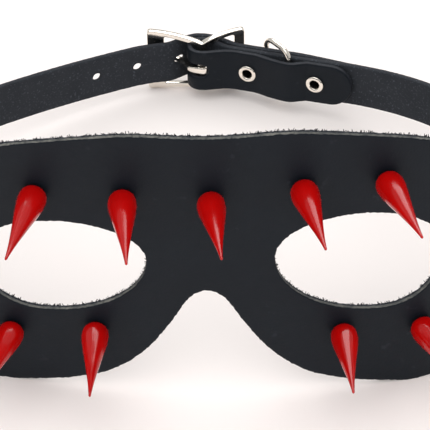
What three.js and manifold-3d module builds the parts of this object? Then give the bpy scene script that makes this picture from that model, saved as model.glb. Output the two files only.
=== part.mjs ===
// Spiked leather eye mask with a buckled head strap, standing on its two cheek lobes.
// Millimetres, +Z up, the outer face of the mask towards -Y, the floor at Z = 0.

import * as THREE from 'three';
import { mergeVertices } from 'three/addons/utils/BufferGeometryUtils.js';
import Module from 'manifold-3d';

// Sizes that can be set by themselves

const gap = 0.3;

const mask = { half: 106, height: 90, thickness: 1.9, notchShift: -1.2, tabHeight: 22, tabRise: 40 };

// The loop seen from above: forehead, temple and cheek arcs, then a flat arc on each side up to the bend
// at the buckle. The cheek and side turns are the headings, in degrees, at which those arcs end
const loop = {
  frontRadius: 260, frontRun: 64, templeRadius: 40, templeTurn: 78, cheekRadius: 79, bendRadius: 45,
};
const loopSides = {
  left: { cheekTurn: 142.4, sideTurn: 156.2 },
  right: { cheekTurn: 155, sideTurn: 158.9 },
};

// How far the mask stands out to the front at a run from its middle: its top and its low edge
const sway = {
  run: 50, from: 55, to: 80, left: { top: 0, foot: -2.4 }, right: { top: 2.4, foot: 3.3 },
};

const eye = { inner: 16.8, width: 46.2 };
const eyeSpans = { left: { low: 29.1, height: 32.3 }, right: { low: 28.9, height: 33.9 } };

const spike = { radius: 3.7, length: 25.2, sides: 14 };
const screw = { shankRadius: 1.5, headRadius: 3.4, headHeight: 0.9, reach: 5, sides: 10 };

const strap = {
  width: 15.2, thickness: 1.8, endMargin: 9, tailLength: 100, flapLength: 54, settle: 10,
  outerSettle: 13,
};
const climb = { from: -13.2, to: -1.5 };
const tailFall = { by: 1.4, from: 32, to: 56 };
const holes = { radius: 1.5, first: -8.4, pitch: 15.2, before: 2, after: 3, tongueStretch: 0.5 };

const buckle = {
  intoBend: 9, turn: 10.6, drop: 0.2, foldEase: 1.4, tongueReach: 18.2, tongueRise: 4.5, tailReach: 14.5,
  tailRise: 3.5, barHalf: 8.4, endHalf: 11.8, waist: 0.6, rail: 1.6, plate: 2, bar: 2.4, tongueEnd: 5.8,
  tailEnd: 3.5,
};
const tongue = { thickness: 1.3, width: 1.9, loopWidth: 3.6, narrowing: 6, overhang: 1.2 };
const keeper = {
  wire: 1.8, innerLeg: 31.4, outerLeg: 21.4, topCorner: 3.6, lowCorner: 1.5, headroom: 2.7,
};
const eyelet = {
  near: 17.2, far: 41, outerRadius: 3.1, barrelRadius: 2.1, boreRadius: 1.6, rim: 0.6, backRim: 0.4,
};
const templeRivet = { margin: 11, shankRadius: 1.5, headRadius: 3.6, headHeight: 1 };

// Sizes that follow from those

const inside = -(mask.thickness / 2 + gap + strap.thickness / 2);
const foldInner = Math.hypot(buckle.bar, buckle.plate) / 2 + gap + buckle.foldEase;
const foldMiddle = foldInner + strap.thickness / 2;
const layer = strap.thickness + gap;
const flapDepth = inside - layer;
const barDepth = inside - layer / 2;
const foldRise = foldMiddle - layer / 2;
const keeperOff = strap.thickness / 2 + gap + keeper.wire / 2;
const templeAt = mask.half - templeRivet.margin;
const rivetBore = templeRivet.shankRadius + gap;

// Outline of the mask, as shares of its half length and height
const topEdge = [
  { along: 0, up: 0.989 }, { along: 0.09, up: 0.994 }, { along: 0.18, up: 1 },
  { along: 0.3, up: 0.987 }, { along: 0.39, up: 0.97 }, { along: 0.5, up: 0.942 },
  { along: 0.61, up: 0.895 }, { along: 0.72, up: 0.81 }, { along: 0.81, up: 0.69 },
];
const lowEdge = [
  { along: 0, up: 0.428 }, { along: 0.045, up: 0.398 }, { along: 0.085, up: 0.318 },
  { along: 0.127, up: 0.236 }, { along: 0.179, up: 0.159 }, { along: 0.245, up: 0.094 },
  { along: 0.34, up: 0.046 }, { along: 0.472, up: 0.01 }, { along: 0.575, up: -0.006 },
  { along: 0.67, up: 0.014 }, { along: 0.76, up: 0.095 }, { along: 0.83, up: 0.205 },
];

// Eye opening, as shares of its width and height: where it peaks, dips, and how high its corners sit
const eyeForm = { peak: 0.47, dip: 0.643, innerCorner: 0.617, outerCorner: 0.5 };

// Spikes: places as shares of the mask's half length and height, turn and lift in degrees off its face
const spikeRows = [
  { name: 'top_1', along: -0.418, up: 0.786, turn: -4, lift: 0 },
  { name: 'top_2', along: -0.211, up: 0.789, turn: 8, lift: 0 },
  { name: 'top_3', along: 0, up: 0.776, turn: 6, lift: 5 },
  { name: 'top_4', along: 0.221, up: 0.811, turn: 6, lift: 2 },
  { name: 'top_5', along: 0.425, up: 0.814, turn: 6, lift: 3 },
  { name: 'low_1', along: -0.512, up: 0.228, turn: -4, lift: 0 },
  { name: 'low_2', along: -0.297, up: 0.262, turn: 6, lift: 1 },
  { name: 'low_3', along: 0.338, up: 0.244, turn: -4, lift: 4 },
  { name: 'low_4', along: 0.54, up: 0.234, turn: 5, lift: 0 },
];

// Half section of a spike, as shares of its length and radius
const spikeForm = [
  { along: 0, out: 0.84 }, { along: 0.035, out: 0.95 }, { along: 0.08, out: 1 },
  { along: 0.15, out: 0.99 }, { along: 0.26, out: 0.88 }, { along: 0.5, out: 0.58 },
  { along: 0.9, out: 0.15 }, { along: 0.975, out: 0.1 }, { along: 1, out: 0 },
];

// How far the folded flap rides over the keeper's leg, as a share of the wire, along its length
const flapForm = [
  { along: 0, over: 0 }, { along: 0.36, over: 0 }, { along: 0.5, over: 0.8 }, { along: 0.555, over: 1 },
  { along: 0.61, over: 1 }, { along: 0.66, over: 0.45 }, { along: 0.7, over: 0 }, { along: 1, over: 0 },
];

// The tongue from the inside of the bar to its left, as shares of the fold's middle radius
const tongueForm = [
  { along: 0, out: -0.88 }, { along: -0.96, out: -0.48 }, { along: -1.27, out: 0.17 },
];

// Materials

const leather = new THREE.MeshStandardMaterial({ color: '#25272b', roughness: 0.6, metalness: 0 });
const paint = new THREE.MeshStandardMaterial({ color: '#b80a12', roughness: 0.15, metalness: 0 });
const nickel = new THREE.MeshStandardMaterial({ color: '#cfcac2', roughness: 0.2, metalness: 1 });
const steel = new THREE.MeshStandardMaterial({ color: '#8d8f92', roughness: 0.35, metalness: 1 });

// Curves

function smoothThrough(rows, key, x) {
  const at = rows.map((row) => row.along);
  const value = rows.map((row) => row[key]);
  const last = rows.length - 1;
  const slope = value.map((v, i) => {
    if (i === 0 || i === last) return 0;
    const before = (v - value[i - 1]) / (at[i] - at[i - 1]);
    const after = (value[i + 1] - v) / (at[i + 1] - at[i]);
    const span = at[i + 1] - at[i - 1];
    return (before * (at[i + 1] - at[i]) + after * (at[i] - at[i - 1])) / span;
  });
  const clamped = THREE.MathUtils.clamp(x, at[0], at[last]);
  let i = 0;
  while (i < last - 1 && clamped > at[i + 1]) i += 1;
  const span = at[i + 1] - at[i];
  const t = (clamped - at[i]) / span;
  return (2 * t ** 3 - 3 * t ** 2 + 1) * value[i] + (t ** 3 - 2 * t ** 2 + t) * span * slope[i]
    + (3 * t ** 2 - 2 * t ** 3) * value[i + 1] + (t ** 3 - t ** 2) * span * slope[i + 1];
}

// The arcs of the loop on one side: each row starts at a run from the middle of the forehead
function arcStep({ radius, from, to }) {
  const step = new THREE.Vector2(Math.sin(to) - Math.sin(from), Math.cos(from) - Math.cos(to));
  return step.multiplyScalar(radius);
}

function chained(arcs) {
  let run = 0;
  let point = new THREE.Vector2();
  return arcs.map((arc) => {
    const row = { ...arc, run, point };
    run += arc.radius * (arc.to - arc.from);
    point = point.clone().add(arcStep(arc));
    return row;
  });
}

// The two side arcs take the radii with which both chains meet at the bend
const frontTurn = loop.frontRun / loop.frontRadius;
const templeTurn = THREE.MathUtils.degToRad(loop.templeTurn);
const bendTurn = 2 * Math.PI
  - THREE.MathUtils.degToRad(loopSides.left.sideTurn + loopSides.right.sideTurn);

function arcsOf({ cheekTurn, sideTurn }, sideRadius) {
  const [cheek, side] = [cheekTurn, sideTurn].map(THREE.MathUtils.degToRad);
  return [
    { radius: loop.frontRadius, from: 0, to: frontTurn },
    { radius: loop.templeRadius, from: frontTurn, to: templeTurn },
    { radius: loop.cheekRadius, from: templeTurn, to: cheek },
    { radius: sideRadius, from: cheek, to: side },
    { radius: loop.bendRadius, from: side, to: side + bendTurn },
  ];
}

const flatSides = [loopSides.left, loopSides.right].map((side) => chained(arcsOf(side, 1)));
const [leftStep, rightStep] = flatSides.map((rows) => arcStep(rows[3]));
const [leftStart, rightStart] = flatSides.map((rows) => rows[3].point);
const missing = arcStep(flatSides[1][4]).add(rightStart);
const wantX = -leftStart.x - missing.x;
const wantY = leftStart.y - missing.y;
const spread = -rightStep.x * leftStep.y - leftStep.x * rightStep.y;
const rightRadius = (-wantX * leftStep.y - leftStep.x * wantY) / spread;
const leftRadius = (rightStep.x * wantY - rightStep.y * wantX) / spread;

const leftArcs = chained(arcsOf(loopSides.left, leftRadius));
const rightArcs = chained(arcsOf(loopSides.right, rightRadius));
const loopLength = leftArcs[4].run + rightArcs[4].run + loop.bendRadius * bendTurn;
const barRun = rightArcs[4].run + buckle.intoBend;

// Plan of the loop at a length s to the right of the forehead's middle: its point and outward normal
function plan(s) {
  const wrapped = s > loopLength / 2 ? s - loopLength : s;
  const side = Math.sign(wrapped) || 1;
  const run = Math.abs(wrapped);
  const row = (side > 0 ? rightArcs : leftArcs).filter((arc) => arc.run <= run).at(-1);
  const heading = row.from + (run - row.run) / row.radius;
  const { x, y } = arcStep({ radius: row.radius, from: row.from, to: heading }).add(row.point);
  return {
    point: new THREE.Vector3(x * side, y, 0),
    normal: new THREE.Vector3(Math.sin(heading) * side, -Math.cos(heading), 0),
  };
}

function onLoop(s, depth, z) {
  const { point, normal } = plan(s);
  return point.addScaledVector(normal, depth).setZ(z);
}

// The mask on that loop, swayed a little to the front or the back on each side
function onMask(s, depth, z) {
  const { top: atTop, foot } = s < 0 ? sway.left : sway.right;
  const run = Math.abs(s);
  const share = (run / sway.run) * (1 - THREE.MathUtils.smoothstep(run, sway.from, sway.to));
  const point = onLoop(s, depth, z);
  point.y -= share * (foot + ((atTop - foot) * z) / mask.height);
  return point;
}

function maskNormal(s, z) {
  const reach = 2;
  const beside = onMask(s + reach, 0, z).sub(onMask(s - reach, 0, z));
  const above = onMask(s, 0, z + reach).sub(onMask(s, 0, z - reach));
  return beside.cross(above).normalize();
}

// The same loop by a length u to the right of the buckle's bar, seen from the mask
const loopFromBar = (u) => barRun - u;

// Mask outline

function roundTab(s, side) {
  const radius = mask.tabHeight / 2;
  const past = s - (mask.half - radius);
  if (past <= 0) return mask.tabRise + side * radius;
  return mask.tabRise + side * Math.sqrt(Math.max(radius ** 2 - past ** 2, 0));
}

function edgeHeight(rows, side, s) {
  const run = Math.abs(s);
  const radius = mask.tabHeight / 2;
  const tabStart = (mask.half - radius) / mask.half;
  const closed = [...rows, { along: tabStart, up: (mask.tabRise + side * radius) / mask.height }];
  if (run > mask.half - radius) return roundTab(run, side);
  return mask.height * smoothThrough(closed, 'up', run / mask.half);
}

const top = (s) => edgeHeight(topEdge, 1, s);
function bottom(s) {
  const shifted = s - mask.notchShift * (1 - Math.abs(s) / mask.half);
  return Math.max(edgeHeight(lowEdge, -1, shifted), 0);
}

function eyeEdge(s, turningPoint, rises) {
  const t = THREE.MathUtils.clamp((Math.abs(s) - eye.inner) / eye.width, 0, 1);
  const inward = t < turningPoint;
  const corner = inward ? eyeForm.innerCorner : eyeForm.outerCorner;
  const reach = inward ? (turningPoint - t) / turningPoint : (t - turningPoint) / (1 - turningPoint);
  const arc = Math.sqrt(Math.max(1 - reach ** 2, 0));
  const share = rises ? corner + (1 - corner) * arc : corner * (1 - arc);
  const { low, height } = s < 0 ? eyeSpans.left : eyeSpans.right;
  return THREE.MathUtils.clamp(low + height * share, bottom(s), top(s));
}

// Solids

const wasm = await Module();
wasm.setup();

function closedSolid(corners) {
  const soup = new THREE.BufferGeometry();
  const numbers = corners.flatMap((p) => [p.x, p.y, p.z]);
  soup.setAttribute('position', new THREE.Float32BufferAttribute(numbers, 3));
  const merged = mergeVertices(soup);
  const index = merged.index.array;
  const kept = [];
  for (let i = 0; i < index.length; i += 3) {
    const [a, b, c] = [index[i], index[i + 1], index[i + 2]];
    if (a !== b && b !== c && c !== a) kept.push(a, b, c);
  }
  merged.setIndex(kept);
  return facedOut(merged);
}

function facedOut(geometry) {
  const position = geometry.getAttribute('position');
  const index = geometry.index.array;
  const corner = (i) => new THREE.Vector3().fromBufferAttribute(position, index[i]);
  let volume = 0;
  for (let i = 0; i < index.length; i += 3) {
    volume += corner(i).dot(corner(i + 1).cross(corner(i + 2)));
  }
  if (volume < 0) {
    const turned = [];
    for (let i = 0; i < index.length; i += 3) turned.push(index[i], index[i + 2], index[i + 1]);
    geometry.setIndex(turned);
  }
  return geometry;
}

function addQuad(corners, a, b, c, d) {
  corners.push(a, b, c, a, c, d);
}

// A bent plate: columns in order, each with the same count of bands (from, to) and a place function
function plate(columns) {
  const corners = [];
  const bandCount = columns[0].bands.length;
  for (let i = 0; i + 1 < columns.length; i += 1) {
    const [a, b] = [columns[i], columns[i + 1]];
    for (let k = 0; k < bandCount; k += 1) {
      const [aLow, aHigh] = a.bands[k];
      const [bLow, bHigh] = b.bands[k];
      addQuad(corners, a.place(aLow, 1), b.place(bLow, 1), b.place(bHigh, 1), a.place(aHigh, 1));
      addQuad(corners, a.place(aHigh, -1), b.place(bHigh, -1), b.place(bLow, -1), a.place(aLow, -1));
      const openBelow = k === 0 || a.bands[k - 1][1] < aLow || b.bands[k - 1][1] < bLow;
      const openAbove = k === bandCount - 1 || aHigh < a.bands[k + 1][0] || bHigh < b.bands[k + 1][0];
      if (openBelow) {
        addQuad(corners, a.place(aLow, -1), b.place(bLow, -1), b.place(bLow, 1), a.place(aLow, 1));
      }
      if (openAbove) {
        addQuad(corners, a.place(aHigh, 1), b.place(bHigh, 1), b.place(bHigh, -1), a.place(aHigh, -1));
      }
    }
  }
  for (const [column, side] of [[columns[0], 1], [columns[columns.length - 1], -1]]) {
    for (const [low, high] of column.bands) {
      const [inLow, outLow] = [column.place(low, -side), column.place(low, side)];
      const [inHigh, outHigh] = [column.place(high, -side), column.place(high, side)];
      addQuad(corners, inLow, outLow, outHigh, inHigh);
    }
  }
  return closedSolid(corners);
}

// A band of leather along stations with plan point, middle height and half width
function ribbon(stations, thickness) {
  const columns = stations.map((station, i) => {
    const before = stations[Math.max(i - 1, 0)].point;
    const after = stations[Math.min(i + 1, stations.length - 1)].point;
    const along = after.clone().sub(before).setZ(0).normalize();
    const across = new THREE.Vector3(along.y, -along.x, 0);
    return {
      bands: [[station.middle - station.half, station.middle + station.half]],
      place: (z, side) => station.point.clone().addScaledVector(across, side * thickness / 2).setZ(z),
    };
  });
  return plate(columns);
}

// A bar of oval section along a flat path; normal stands on the path's plane
// upRadius is one size, or one for each point of the path
function sweep(path, normal, radius, upRadius, sides, closed) {
  const count = path.length;
  const rings = path.map((point, i) => {
    const before = closed ? path[(i + count - 1) % count] : path[Math.max(i - 1, 0)];
    const after = closed ? path[(i + 1) % count] : path[Math.min(i + 1, count - 1)];
    const along = after.clone().sub(before).normalize();
    const across = new THREE.Vector3().crossVectors(along, normal);
    const rise = upRadius[i] ?? upRadius;
    return Array.from({ length: sides }, (_, k) => {
      const angle = (k / sides) * 2 * Math.PI;
      const offset = across.clone().multiplyScalar(radius * Math.cos(angle));
      return point.clone().add(offset).addScaledVector(normal, rise * Math.sin(angle));
    });
  });
  const corners = [];
  for (let i = 0; i < (closed ? count : count - 1); i += 1) {
    const [a, b] = [rings[i], rings[(i + 1) % count]];
    for (let k = 0; k < sides; k += 1) {
      const next = (k + 1) % sides;
      addQuad(corners, a[k], a[next], b[next], b[k]);
    }
  }
  if (!closed) {
    for (let k = 1; k + 1 < sides; k += 1) {
      corners.push(rings[0][0], rings[0][k + 1], rings[0][k]);
      corners.push(rings[count - 1][0], rings[count - 1][k], rings[count - 1][k + 1]);
    }
  }
  return closedSolid(corners);
}

function cornersOf(loose) {
  const position = loose.getAttribute('position');
  const corner = (i) => new THREE.Vector3().fromBufferAttribute(position, i);
  return Array.from({ length: position.count }, (_, i) => corner(i));
}

// A turned piece along +Z from rows of (along, out)
function turned(rows, sides) {
  const profile = rows.map(({ along, out }) => new THREE.Vector2(out, along));
  const lathe = new THREE.LatheGeometry(profile, sides).rotateX(Math.PI / 2).toNonIndexed();
  return closedSolid(cornersOf(lathe));
}

// A turned cutter or post along an axis from a point
function placed(geometry, point, axis) {
  const turn = new THREE.Quaternion().setFromUnitVectors(new THREE.Vector3(0, 0, 1), axis);
  const placement = new THREE.Matrix4().compose(point, turn, new THREE.Vector3(1, 1, 1));
  return geometry.clone().applyMatrix4(placement);
}

function post(radius, from, to, sides = 16) {
  return turned([
    { along: from, out: 0 }, { along: from, out: radius },
    { along: to, out: radius }, { along: to, out: 0 },
  ], sides);
}

function toManifold(geometry) {
  return new wasm.Manifold(new wasm.Mesh({
    numProp: 3,
    vertProperties: new Float32Array(geometry.getAttribute('position').array),
    triVerts: new Uint32Array(geometry.index.array),
  }));
}

function cutAway(geometry, cutters) {
  const body = cutters.reduce((left, cutter) => left.subtract(toManifold(cutter)), toManifold(geometry));
  const mesh = body.getMesh();
  const result = new THREE.BufferGeometry();
  result.setAttribute('position', new THREE.Float32BufferAttribute(mesh.vertProperties, 3));
  result.setIndex(Array.from(mesh.triVerts));
  return result;
}

// Assembly

const up = new THREE.Vector3(0, 0, 1);
const assembly = new THREE.Group();

function addMesh(name, geometry, material) {
  const mesh = new THREE.Mesh(geometry, material);
  mesh.name = name;
  assembly.add(mesh);
  return mesh;
}

// Spikes and their screws: one axis each, square to the mask but for its turn and lift

const spikeAxes = spikeRows.map((row) => {
  const [s, z] = [row.along * mask.half, row.up * mask.height];
  const normal = maskNormal(s, z);
  const axis = normal.clone().applyAxisAngle(up, THREE.MathUtils.degToRad(row.turn));
  axis.applyAxisAngle(new THREE.Vector3().crossVectors(axis, up), THREE.MathUtils.degToRad(row.lift));
  const tilt = Math.sin(axis.angleTo(normal));
  return { ...row, axis, tilt, middle: onMask(s, 0, z) };
});

for (const { name, axis, tilt, middle } of spikeAxes) {
  const seat = mask.thickness / 2 + gap + tilt * spikeForm[0].out * spike.radius;
  const back = -(mask.thickness / 2 + gap + tilt * screw.headRadius);
  const boreRadius = screw.shankRadius + gap;
  const boreDepth = screw.reach + gap;
  const body = turned([
    { along: boreDepth, out: 0 }, { along: boreDepth, out: boreRadius }, { along: 0, out: boreRadius },
    ...spikeForm.map(({ along, out }) => ({ along: along * spike.length, out: out * spike.radius })),
  ], spike.sides);
  addMesh(`spike_${name}`, placed(body, middle.clone().addScaledVector(axis, seat), axis), paint);
  const pin = turned([
    { along: back - screw.headHeight, out: 0 },
    { along: back - screw.headHeight, out: screw.headRadius * 0.8 },
    { along: back, out: screw.headRadius }, { along: back, out: screw.shankRadius },
    { along: seat + screw.reach, out: screw.shankRadius }, { along: seat + screw.reach, out: 0 },
  ], screw.sides);
  addMesh(`screw_${name}`, placed(pin, middle, axis), steel);
}

// Mask panel: the sheet with its eye openings, then the holes for screws and temple rivets

function maskColumns() {
  const even = (count) => Array.from({ length: count }, (_, i) => i / count);
  const cosine = (count) => even(count).map((t) => (1 - Math.cos(t * Math.PI)) / 2);
  const eyeOuter = eye.inner + eye.width;
  const tabStart = mask.half - mask.tabHeight / 2;
  const spans = [
    { from: 0, to: eye.inner, shares: even(10) },
    { from: eye.inner, to: eyeOuter, shares: cosine(34) },
    { from: eyeOuter, to: tabStart, shares: even(14) },
    { from: tabStart, to: mask.half, shares: even(8).map((t) => Math.sin((t * Math.PI) / 2)) },
  ];
  const right = spans.flatMap(({ from, to, shares }) => shares.map((t) => from + (to - from) * t));
  right.push(mask.half);
  return [...right.slice(1).reverse().map((s) => -s), ...right];
}

const maskSheet = plate(maskColumns().map((s) => ({
  bands: [[bottom(s), eyeEdge(s, eyeForm.dip, false)], [eyeEdge(s, eyeForm.peak, true), top(s)]],
  place: (z, side) => onMask(s, side * mask.thickness / 2, z),
})));

const screwHole = post(screw.shankRadius + gap, -2 * mask.thickness, 2 * mask.thickness, screw.sides);
const rivetHole = post(rivetBore, -2 * (mask.thickness + strap.thickness), 2 * mask.thickness);
const temples = [-1, 1].map((side) => ({
  side,
  point: onLoop(side * templeAt, 0, mask.tabRise),
  axis: plan(side * templeAt).normal,
}));

addMesh('mask_panel', cutAway(maskSheet, [
  ...spikeAxes.map(({ axis, middle }) => placed(screwHole, middle, axis)),
  ...temples.map(({ point, axis }) => placed(rivetHole, point, axis)),
]), leather);

// Straps: both stand on edge, fall from the temples to the buckle, and lie inside the mask's tabs

const leftRun = loopLength - barRun - templeAt;
const rightRun = barRun - templeAt;
const barHeight = buckle.endHalf + buckle.drop;

function strapMiddle(u) {
  const full = u < 0 ? leftRun : rightRun;
  return barHeight + (mask.tabRise - barHeight) * (u / full) ** 2;
}

function strapHalf(distanceFromEnd) {
  const radius = strap.width / 2;
  const past = Math.max(radius - distanceFromEnd, 0);
  return Math.sqrt(Math.max(radius ** 2 - past ** 2, 0));
}

function roundedEndSteps(from, to, count) {
  const length = to - from;
  const radius = strap.width / 2;
  const arc = Array.from({ length: 6 }, (_, i) => radius * (1 - Math.cos((i / 6) * (Math.PI / 2))));
  const body = Array.from({ length: count + 1 }, (_, i) => radius + ((length - 2 * radius) * i) / count);
  const steps = [...arc, ...body, ...arc.map((d) => length - d).reverse()];
  return steps.map((d) => ({ at: from + d, end: Math.min(d, length - d) }));
}

// How far a layer stands off while it passes the bar: the outer layers settle later
function barBulge(u, settle = strap.settle) {
  return foldRise * (1 - THREE.MathUtils.smoothstep(u, 0, settle));
}

// The holed strap runs inside the loop, climbs over the bar and lies outside the other strap after it
function holedDepth(u) {
  const climbed = THREE.MathUtils.smoothstep(u, climb.from, climb.to);
  return inside + layer * climbed + (u < 0 ? foldRise * climbed : barBulge(u, strap.outerSettle));
}

// Its tail hangs a little lower than the other strap
function holedMiddle(u) {
  return strapMiddle(u) - tailFall.by * THREE.MathUtils.smoothstep(u, tailFall.from, tailFall.to);
}

const holedStations = roundedEndSteps(-leftRun - strap.endMargin, strap.tailLength, 56)
  .map(({ at, end }) => ({
    point: onLoop(loopFromBar(at), holedDepth(at), 0),
    middle: holedMiddle(at),
    half: strapHalf(end),
  }));

function punch(u, depth, radius, stretch) {
  const s = loopFromBar(u);
  const cutter = post(radius, -1.5 * strap.thickness, 1.5 * strap.thickness);
  const axis = plan(s).normal;
  const basis = new THREE.Matrix4().makeBasis(new THREE.Vector3(-axis.y, axis.x, 0), up, axis);
  basis.setPosition(onLoop(s, depth, holedMiddle(u)));
  return cutter.scale(1 + stretch / radius, 1, 1).applyMatrix4(basis);
}

const holeCutters = Array.from({ length: holes.before + holes.after + 1 }, (_, i) => {
  const u = holes.first + (i - holes.before) * holes.pitch;
  return punch(u, holedDepth(u), holes.radius, i === holes.before ? holes.tongueStretch : 0);
});

addMesh('holed_strap', cutAway(ribbon(holedStations, strap.thickness), [
  ...holeCutters,
  placed(rivetHole, temples[0].point, temples[0].axis),
]), leather);

// Two bases at the middle of the bar, with y out of the head and z up: the fold's follows the strap, and
// the buckle's is turned and dropped in it

function basisAtBar(outward, height) {
  return new THREE.Matrix4()
    .makeBasis(new THREE.Vector3(outward.y, -outward.x, 0), outward, up)
    .setPosition(onLoop(loopFromBar(0), barDepth, height));
}

const barNormal = plan(loopFromBar(0)).normal;
const foldBasis = basisAtBar(barNormal, barHeight);
const turnedNormal = barNormal.clone().applyAxisAngle(up, THREE.MathUtils.degToRad(buckle.turn));
const buckleBasis = basisAtBar(turnedNormal, barHeight - buckle.drop);

// The buckle strap: along the loop, round the bar and back as the flap

function flapPoint(distance) {
  const over = Math.max(smoothThrough(flapForm, 'over', distance / strap.flapLength), 0);
  const standOff = barBulge(distance, strap.outerSettle) + (keeper.wire + gap) * over;
  return onLoop(loopFromBar(distance), flapDepth - standOff, 0);
}

const rightEnd = rightRun + strap.endMargin;
const nearBar = Array.from({ length: 8 }, (_, i) => ({ at: ((i + 1) * strap.width) / 16 }));
const pastBar = (to, count) => roundedEndSteps(0, to, count).filter(({ at }) => at > strap.width / 2);
const mainStations = [...nearBar, ...pastBar(rightEnd, 40)].reverse().map(({ at }) => ({
  at,
  point: onLoop(loopFromBar(at), inside + barBulge(at), 0),
  half: strapHalf(rightEnd - at),
}));
const foldStations = Array.from({ length: 11 }, (_, i) => {
  const angle = Math.PI / 2 + (i / 10) * Math.PI;
  const local = new THREE.Vector3(foldMiddle * Math.cos(angle), foldMiddle * Math.sin(angle), 0);
  return { at: 0, point: local.applyMatrix4(foldBasis).setZ(0), half: strap.width / 2 };
});
const flapStations = [...nearBar, ...pastBar(strap.flapLength, 18)].map(({ at }) => ({
  at,
  point: flapPoint(at),
  half: strapHalf(strap.flapLength - at),
}));
const buckleStations = [...mainStations, ...foldStations, ...flapStations]
  .map((station) => ({ ...station, middle: strapMiddle(station.at) }));

const slotHeight = tongue.loopWidth + 6 * gap;
const slotEnd = Math.hypot(buckle.bar, buckle.plate) / 2 + gap + tongue.thickness;
const slotBack = foldMiddle + strap.thickness;

function slotCutter() {
  const outline = new THREE.Shape();
  outline.moveTo(-slotBack, -slotHeight / 2);
  outline.lineTo(slotEnd - slotHeight / 2, -slotHeight / 2);
  outline.absarc(slotEnd - slotHeight / 2, 0, slotHeight / 2, -Math.PI / 2, Math.PI / 2);
  outline.lineTo(-slotBack, slotHeight / 2);
  const depth = 2 * slotBack;
  const block = new THREE.ExtrudeGeometry(outline, { depth, bevelEnabled: false, curveSegments: 6 });
  block.translate(0, 0, -depth / 2).rotateX(Math.PI / 2);
  return closedSolid(cornersOf(block)).applyMatrix4(foldBasis);
}

const eyeletPlaces = [{ name: 'near', at: eyelet.near }, { name: 'far', at: eyelet.far }];
const eyeletHole = eyelet.barrelRadius + gap;
const sinkRadius = eyelet.outerRadius + gap;
const sinkDepth = eyelet.backRim + 2 * gap;

const eyeletCutters = eyeletPlaces.flatMap(({ at }) => {
  const s = loopFromBar(at);
  const axis = plan(s).normal;
  const face = onLoop(s, inside + strap.thickness / 2, strapMiddle(at));
  return [
    placed(post(eyeletHole, -4 * strap.thickness, strap.thickness), face, axis),
    placed(post(sinkRadius, -sinkDepth, strap.thickness), face, axis),
  ];
});

addMesh('buckle_strap', cutAway(ribbon(buckleStations, strap.thickness), [
  slotCutter(),
  ...eyeletCutters,
  placed(rivetHole, temples[1].point, temples[1].axis),
]), leather);

// Buckle frame: one bow-shaped plate with a window on each side of the bar

function frameDepth(x) {
  const reach = x < 0 ? buckle.tongueReach : buckle.tailReach;
  const rise = x < 0 ? buckle.tongueRise : buckle.tailRise;
  return rise * Math.sin((Math.min(Math.abs(x) / reach, 1) * Math.PI) / 2);
}

function frameHalf(x) {
  const share = Math.abs(x) / (x < 0 ? buckle.tongueReach : buckle.tailReach);
  return buckle.barHalf + (buckle.endHalf - buckle.barHalf) * share ** buckle.waist;
}

const frameSteps = [
  ...Array.from({ length: 12 }, (_, i) => -buckle.tongueReach * (1 - i / 12)),
  ...Array.from({ length: 13 }, (_, i) => (buckle.tailReach * i) / 12),
];

const frameSheet = ribbon(frameSteps.map((x) => ({
  point: new THREE.Vector3(x, frameDepth(x), 0),
  middle: 0,
  half: frameHalf(x),
})), buckle.plate);

function windowCutter(from, to) {
  const count = 8;
  return ribbon(Array.from({ length: count + 1 }, (_, i) => {
    const x = from + ((to - from) * i) / count;
    const point = new THREE.Vector3(x, frameDepth(x), 0);
    return { point, middle: 0, half: frameHalf(x) - buckle.rail };
  }), 3 * buckle.plate);
}

const frameBody = cutAway(frameSheet, [
  windowCutter(-buckle.tongueReach + buckle.tongueEnd, -buckle.bar / 2),
  windowCutter(buckle.bar / 2, buckle.tailReach - buckle.tailEnd),
]);
addMesh('buckle_frame', frameBody.applyMatrix4(buckleBasis), nickel);

// Tongue: wrapped round the bar in the slot, out through the strap's hole and on to the end bar

const wrapRadius = Math.hypot(buckle.bar, buckle.plate) / 2 + gap + tongue.thickness / 2;
const holePoint = onLoop(loopFromBar(holes.first), holedDepth(holes.first), 0)
  .applyMatrix4(buckleBasis.clone().invert()).setZ(0);
const overBar = buckle.plate / 2 + gap + tongue.thickness * 0.7;

function tonguePath() {
  const edge = -buckle.tongueReach + buckle.tongueEnd;
  const sag = -tongueForm[0].out * foldMiddle;
  const wrap = Array.from({ length: 12 }, (_, i) => {
    const angle = THREE.MathUtils.degToRad(130 - i * 20);
    const out = (angle < 0 ? sag : wrapRadius) * Math.sin(angle);
    return new THREE.Vector3(wrapRadius * Math.cos(angle), out, 0);
  });
  const shaft = new THREE.CatmullRomCurve3([
    ...tongueForm.map(({ along, out }) => new THREE.Vector3(along * foldMiddle, out * foldMiddle, 0)),
    holePoint,
    ...[edge, edge - buckle.tongueEnd / 2, -buckle.tongueReach - tongue.overhang]
      .map((x) => new THREE.Vector3(x, frameDepth(x) + overBar, 0)),
  ]).getPoints(22).slice(1);
  const spread = (tongue.loopWidth - tongue.width) / 2;
  const halves = [...wrap, ...shaft].map((_, i) => (
    tongue.width / 2 + spread * (1 - THREE.MathUtils.smoothstep(i - wrap.length, 0, tongue.narrowing))
  ));
  return { path: [...wrap, ...shaft], halves };
}

const tongueRun = tonguePath();
const tongueBody = sweep(tongueRun.path, up, tongue.thickness / 2, tongueRun.halves, 8, false);
addMesh('buckle_tongue', tongueBody.applyMatrix4(buckleBasis), nickel);

// Keeper ring: a loose wire loop round both straps, one leg under the flap, leaning along the strap

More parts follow.
